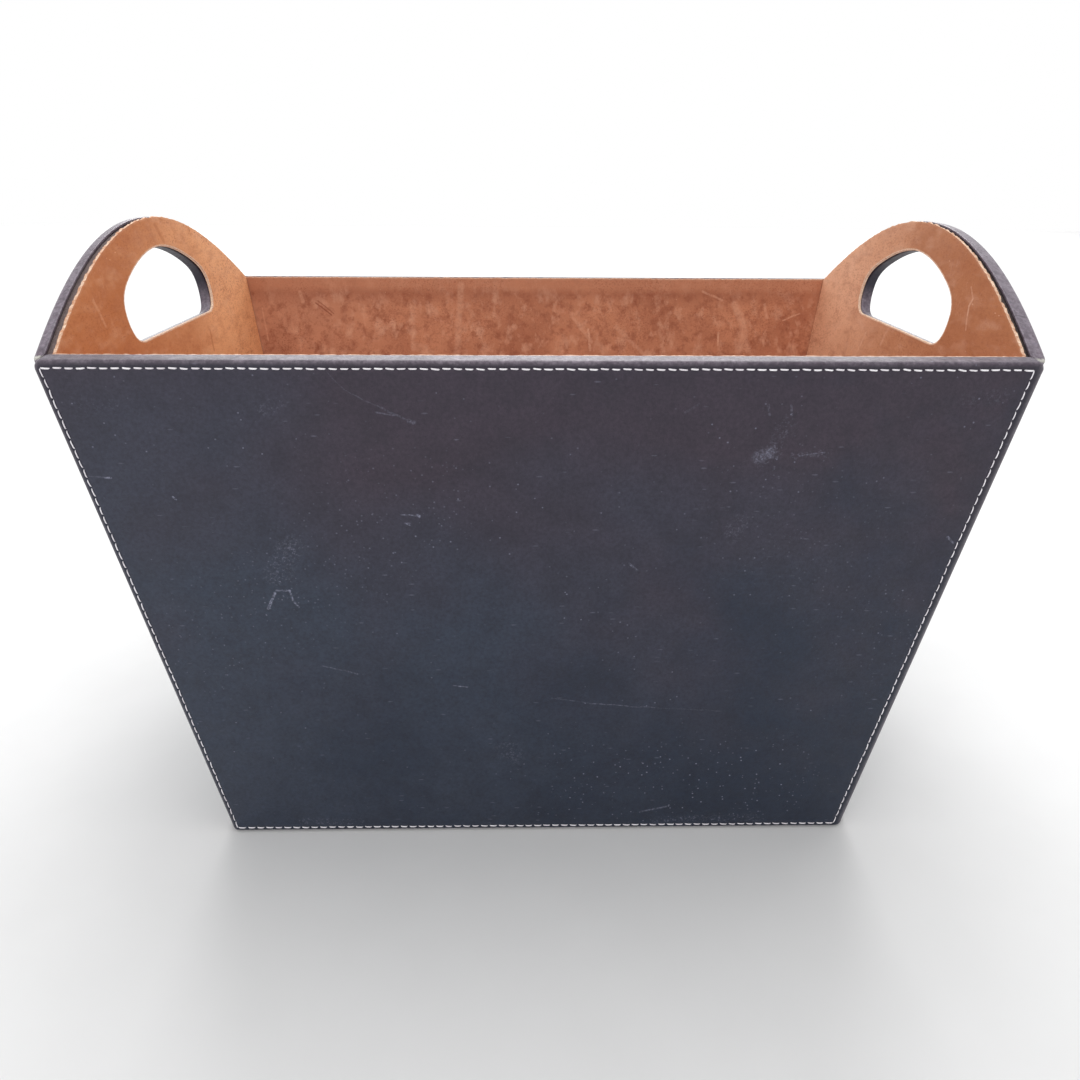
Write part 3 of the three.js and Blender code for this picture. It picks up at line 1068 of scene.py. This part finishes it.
# Scratches and scuffs, as (start, end, half width, strength), across and up the wall from its foot
FRONT_SCRATCHES = [
    ((-86, 251), (-80, 243), 0.35, 0.15), ((-80, 243), (-66, 235.5), 0.35, 0.2),
    ((-66, 235.5), (-54, 229), 0.6, 0.25), ((-55, 229.5), (-53, 229), 1.2, 0.35),
    ((-68, 233.5), (-60, 232), 0.4, 0.3), ((-60.5, 186), (-53, 185), 0.45, 0.8),
    ((-54, 185.5), (-53, 185), 0.8, 1), ((-59, 181.5), (-57, 180.5), 0.45, 0.6),
    ((-122, 137.5), (-118.5, 146), 0.85, 1), ((-117.5, 147.5), (-111.5, 147), 0.65, 0.9),
    ((-111.5, 146.5), (-111, 142), 0.6, 1), ((-111, 142), (-108.5, 138.5), 0.6, 0.9),
    ((-188, 204.5), (-180, 203.5), 0.35, 0.2), ((-181.5, 203.5), (-179.5, 203.5), 0.6, 0.9),
    ((-155, 194.5), (-154, 193.5), 0.6, 1), ((5, 86), (23, 82.5), 0.35, 0.22),
    ((23, 82.5), (54, 79.5), 0.4, 0.4), ((54, 79.5), (86, 77), 0.35, 0.15),
    ((-101, 105.5), (-91, 102.5), 0.4, 0.35), ((-91, 102.5), (-85, 100.5), 0.5, 0.45),
    ((-41, 93.5), (-34.5, 92.5), 0.45, 0.65), ((106, 214), (116.5, 215.5), 0.45, 0.4),
    ((90.5, 237), (91.5, 232.5), 0.6, 0.25), ((99.5, 237), (100.5, 232.5), 0.6, 0.25),
    ((38, 161), (41.5, 157.5), 0.6, 0.5), ((176, 174.5), (179, 171.5), 0.6, 0.7),
    ((62.5, 237.5), (57, 233.5), 0.7, 0.1), ((51, 11.5), (65, 15.5), 0.7, 0.6),
    ((89, 213.5), (93, 215.5), 3.4, 0.5),
]
FRONT_SCUFFS = [
    ((90, 213.5), (94, 216.5), 5, 0.6), ((97, 222), (99, 229), 5, 0.22),
    ((104, 214), (118, 215.5), 2.5, 0.4), ((82, 176), (84, 182), 5, 0.25),
    ((-116, 156), (-109, 170), 7, 0.5), ((-113.5, 234.5), (-106, 238), 4, 0.22),
    ((-16, 53), (-13, 50), 8, 0.35), ((-186, 236), (-173, 236), 5, 0.1),
    ((170, 239.5), (186, 240.5), 4, 0.15), ((-120, 7), (-90, 6), 3, 0.4),
    ((60, 6), (110, 7), 3, 0.45),
]
FRONT_SPECKLES = [
    ((30, 26), (110, 36), 34, 0.9), ((-150, 120), (-60, 190), 40, 0.3),
    ((100, 200), (160, 120), 40, 0.2),
]
BACK_SCRATCHES = [
    ((51.5, 250), (54.5, 204), 3, 0.45), ((-35.5, 220), (-37, 206), 1.1, 0.9),
    ((-25, 228), (-38, 211.5), 1.6, 0.5), ((-113.5, 246.5), (-127, 240.5), 1, 0.5),
    ((-136, 237.5), (-143.5, 220), 3.4, 0.55), ((-143.5, 220), (-139.5, 205), 3.6, 0.45),
    ((-169.5, 227), (-181, 231.5), 0.8, 0.8), ((-156.5, 237.5), (-158.5, 228.5), 1.2, 0.5),
    ((-125, 218), (-125, 209.5), 0.8, 0.9), ((-65.5, 211.5), (-75, 202), 1.6, 0.5),
    ((-56, 221), (-67, 209), 2, 0.4), ((186.5, 234), (183, 212), 0.7, 0.7),
    ((160.5, 245), (158.5, 238), 1.6, 0.45),
]
# Creases of the linings, painted as darker strokes: painted shade of their folds.
BACK_CREASE_SHADE = [((150, 237.5), (139.5, 229.5), 0.6, 0.8), ((148.5, 239), (138, 230.5), 0.5, 0.6)]
RIGHT_SCRATCHES = [
    ((-62.5, 277.5), (-67, 272.5), 0.7, 0.5), ((-67, 272.5), (-66, 269), 1, 0.8),
    ((-66, 269), (-67, 265), 0.7, 0.7), ((-67, 265), (-69.5, 258.5), 0.7, 0.55),
    ((29.5, 237), (33, 225), 1.3, 0.5), ((-2.5, 261.5), (8, 234), 1.2, 0.35),
]
RIGHT_NICKS = [
    ((-104.5, 267), (-107, 266.5), 0.5, 0.9), ((-107.5, 266), (-108.5, 264), 0.5, 0.9),
    ((-109.5, 264), (-110, 262), 0.4, 0.7), ((-96, 270), (-96.5, 272), 0.4, 0.5),
]
LEFT_SCRATCHES = [((76.5, 272), (73.5, 260), 1.4, 0.35)]
LEFT_CREASE_SHADE = [((-34.5, 236), (-32.5, 224.5), 1.2, 0.4), ((-3.5, 299.5), (-8, 291), 2.2, 0.35)]

# How a panel's rim, sides and foot are rounded, and how deep their leather is turned over
LONG_ROUNDS = (1.3, 4.4, 2)
LONG_TURNS = (7.1, 7.25, 4.6)
END_ROUNDS = (2, 1.2, 2)
END_TURNS = {"left": (4.6, 1.6, 4.6), "right": (5.8, 1.6, 4.6)}

cover_front = charcoal_leather("charcoal_leather_front", FRONT_SCRATCHES, FRONT_SCUFFS, FRONT_SPECKLES)
cover_plain = charcoal_leather("charcoal_leather")
cover_right = charcoal_leather("charcoal_leather_right", nicks=RIGHT_NICKS)
covers = {"front": cover_front, "right": cover_right, "back": cover_plain, "left": cover_plain}

# The tans of a lining, as (light, deep, pale), and what an end has to the front and to the back
# The tans differ from wall to wall, the left end's lightest: partly the leathers' own tones and partly
# painted light and shade.
LEFT_TAN = (srgb(213, 148, 101), srgb(162, 92, 54), srgb(228, 174, 136))
LEFT_ENDS = (srgb(180, 105, 56), srgb(236, 174, 126))
RIGHT_TAN = (srgb(200, 143, 106), srgb(150, 89, 59), srgb(216, 170, 143))
RIGHT_ENDS = (srgb(167, 102, 62), srgb(228, 175, 142))
LONG_TAN = (srgb(204, 143, 110), srgb(144, 83, 61), srgb(222, 172, 143))
linings = {
    "front": tan_leather("tan_leather_front", *LONG_TAN, strip=True),
    "back": tan_leather("tan_leather_back", *LONG_TAN, BACK_SCRATCHES, BACK_CREASE_SHADE, strip=True),
    "left": tan_leather("tan_leather_left", *LEFT_TAN, LEFT_SCRATCHES, LEFT_CREASE_SHADE, end=LEFT_ENDS),
    "right": tan_leather("tan_leather_right", *RIGHT_TAN, RIGHT_SCRATCHES, end=RIGHT_ENDS),
    "floor": tan_leather("tan_leather_floor", *LONG_TAN),
}
# The same board fibre in two brightnesses, seen in the grooves along the arches: darker as painted shade on
# the right, and paler on the left board as a painted lit copy.
board = board_fibre("board_fibre", srgb(44, 37, 38), srgb(92, 78, 76))
lit_board = board_fibre("pale_board_fibre", srgb(90, 78, 78), srgb(134, 118, 116))
thread = waxed_thread()
wire = bright_wire()


def dress_wall(wall):
    inset = LINING_FRONT if wall.arched else PANEL_INSET
    rounds, turns = (END_ROUNDS, END_TURNS[wall.name]) if wall.arched else (LONG_ROUNDS, LONG_TURNS)
    panel = Panel(wall, inset, rounds, turns)
    outside = panel.sheet.build(wall.name + "_leather", covers[wall.name])
    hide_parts(wall.name + "_cover")
    inside = lining(wall, WALL + LINING_GAP if wall.arched else LINING_FRONT)
    inside = inside.build(wall.name + "_inside_leather", linings[wall.name])
    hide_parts(wall.name + "_lining")
    seam = finish_piece(wall.name + "_stitches", stitching(wall, panel.samples), thread, SHARP_THREAD)
    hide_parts(wall.name + "_stitching")
    if wall.arched:
        hole = sleeve(wall).build(wall.name + "_hand_hole_leather", cover_plain)
        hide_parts(wall.name + "_hand_hole_sleeve")


def paint_nodes():
    """Gives the frame's own solids that still show the material of the first word in their name."""
    paints = {
        "left_board": lit_board, "board": board, "floor_sole": cover_plain,
        "floor_lining": linings["floor"], "brad": wire,
    }
    for name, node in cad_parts.items():
        matches = [material for word, material in paints.items() if word in name]
        if matches and not node.hide_render:
            node.data.materials.clear()
            node.data.materials.append(matches[0])


for wall in (front, right, back, left):
    dress_wall(wall)
paint_nodes()


# The studio: the photo's camera, as fitted to it: its place in metres, and its lens in pixels
CAMERA_PLACE = (-0.00836, -0.43624, 0.32828)
CAMERA_PITCH = math.radians(14.6698)
CAMERA_YAW = math.radians(1.1451)
CAMERA_ROLL = math.radians(0.4193)
IMAGE_WIDTH = 1080
FOCAL_PIXELS = 813.2797
HORIZON_PIXELS = 378.1847
SENSOR_WIDTH = 36
NEAREST, FARTHEST = 0.01, 50

# The floor, a hair under the basket, in metres, and its two pale greys
FLOOR_CORNERS = [(-5, -3), (5, -3), (5, 4), (-5, 4)]
FLOOR_HEIGHT = -0.0004
FLOOR_GRAIN = (40, 2)
FLOOR_SHADE = (0.80, 0.80, 0.80, 1)
FLOOR_LIGHT = (0.84, 0.84, 0.84, 1)

# The light: the world's, a white backdrop, and lamps as (name, place, target, size, power)
WHITE = (1, 1, 1, 1)
WORLD_STRENGTH = 0.62
BACKDROP_STRENGTH = 1.0
LAMPS = [
    ("overhead", (0.1, 0.1, 1.5), (0, 0, 0.15), (1.2, 1.2), 10),
    ("front_fill", (-0.6, -1.5, 0.9), (0, 0, 0.12), (1.2, 1.0), 7),
    ("back_sky", (0.0, 4.2, 2.9), (0, 0, 0.2), (5.5, 3.0), 190),
]


def make_camera():
    data = bpy.data.cameras.new("camera")
    data.sensor_width = SENSOR_WIDTH
    data.lens = data.sensor_width * FOCAL_PIXELS / IMAGE_WIDTH
    data.shift_y = HORIZON_PIXELS / IMAGE_WIDTH - 0.5
    data.clip_start, data.clip_end = NEAREST, FARTHEST
    camera = linked("camera", data)
    yaw = Matrix.Rotation(-CAMERA_YAW, 4, "Z")
    pitch = Matrix.Rotation(math.pi / 2 - CAMERA_PITCH, 4, "X")
    roll = Matrix.Rotation(CAMERA_ROLL, 4, "Z")
    camera.matrix_world = Matrix.Translation(CAMERA_PLACE) @ yaw @ pitch @ roll
    scene.camera = camera


def area_light(name, place, target, size, power):
    data = bpy.data.lights.new(name, "AREA")
    data.shape = "RECTANGLE"
    data.size, data.size_y = size
    data.energy = power
    light = linked(name, data)
    light.location = place
    light.rotation_euler = (Vector(target) - Vector(place)).to_track_quat("-Z", "Y").to_euler()


def make_floor():
    mesh = bpy.data.meshes.new("studio_floor")
    mesh.from_pydata([(x, y, FLOOR_HEIGHT) for x, y in FLOOR_CORNERS], [], [(0, 1, 2, 3)])
    paint = Paint("studio_floor", 0.8, 0.2)
    grain = paint.noise(*FLOOR_GRAIN)
    paint.colour = paint.mix(grain, FLOOR_SHADE, FLOOR_LIGHT)
    mesh.materials.append(paint.done(paint.bump(grain, 0.02)))
    linked("studio_floor", mesh)


def make_world():
    """Soft light from all sides, and a white backdrop for the camera, for gloss and for glass."""
    world = bpy.data.worlds.new("studio")
    world.use_nodes = True
    scene.world = world
    tree = world.node_tree
    light = tree.nodes["Background"]
    backdrop = tree.nodes.new("ShaderNodeBackground")
    for node, strength in ((light, WORLD_STRENGTH), (backdrop, BACKDROP_STRENGTH)):
        node.inputs["Color"].default_value = WHITE
        node.inputs["Strength"].default_value = strength
    path = tree.nodes.new("ShaderNodeLightPath")
    seen = path.outputs["Is Camera Ray"]
    for ray in ("Is Glossy Ray", "Is Transmission Ray"):
        either = tree.nodes.new("ShaderNodeMath")
        either.operation = "MAXIMUM"
        tree.links.new(seen, either.inputs[0])
        tree.links.new(path.outputs[ray], either.inputs[1])
        seen = either.outputs[0]
    choose = tree.nodes.new("ShaderNodeMixShader")
    tree.links.new(seen, choose.inputs["Fac"])
    tree.links.new(light.outputs[0], choose.inputs[1])
    tree.links.new(backdrop.outputs[0], choose.inputs[2])
    tree.links.new(choose.outputs[0], tree.nodes["World Output"].inputs["Surface"])


make_camera()
make_floor()
make_world()
for lamp in LAMPS:
    area_light(*lamp)
scene.view_settings.view_transform = "Standard"
